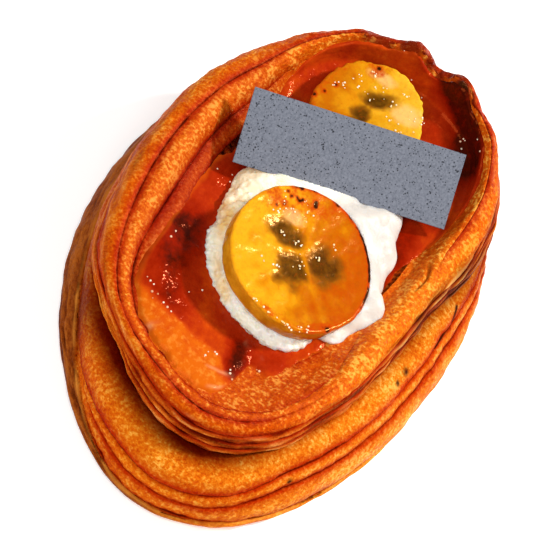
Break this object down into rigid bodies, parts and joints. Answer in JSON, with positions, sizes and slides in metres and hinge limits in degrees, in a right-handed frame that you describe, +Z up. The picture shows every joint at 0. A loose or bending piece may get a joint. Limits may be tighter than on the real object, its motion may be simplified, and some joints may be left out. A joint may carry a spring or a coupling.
{
  "type": "banana caramel puff pastry",
  "caption": "Oval two-tier puff pastry boat with a flaky ridged crust, its well filled with caramel, a spoonful of cream and caramelised banana slices, and a plain card on top.",
  "frame": {"origin": "under the middle of the pastry, on the surface it rests on", "axes": "+X along the pastry to its lipped far end, +Y to its left side, +Z up"},
  "size_m": [0.1198, 0.0858, 0.036],
  "materials": {
    "crust": "egg-glazed golden orange puff pastry, dark in its creases",
    "caramel": "wet deep red-brown caramel, amber where thin",
    "cream": "soft white cream",
    "banana": "caramelised banana, glossy and browned at the rim",
    "card": "matte blue-grey card with fine dark specks"
  },
  "bodies": {
    "root": {"pastry": "crust", "caramel": "caramel", "cream": "cream", "banana_front": "banana", "banana_back": "banana", "card": "card"}
  },
  "joints": []
}
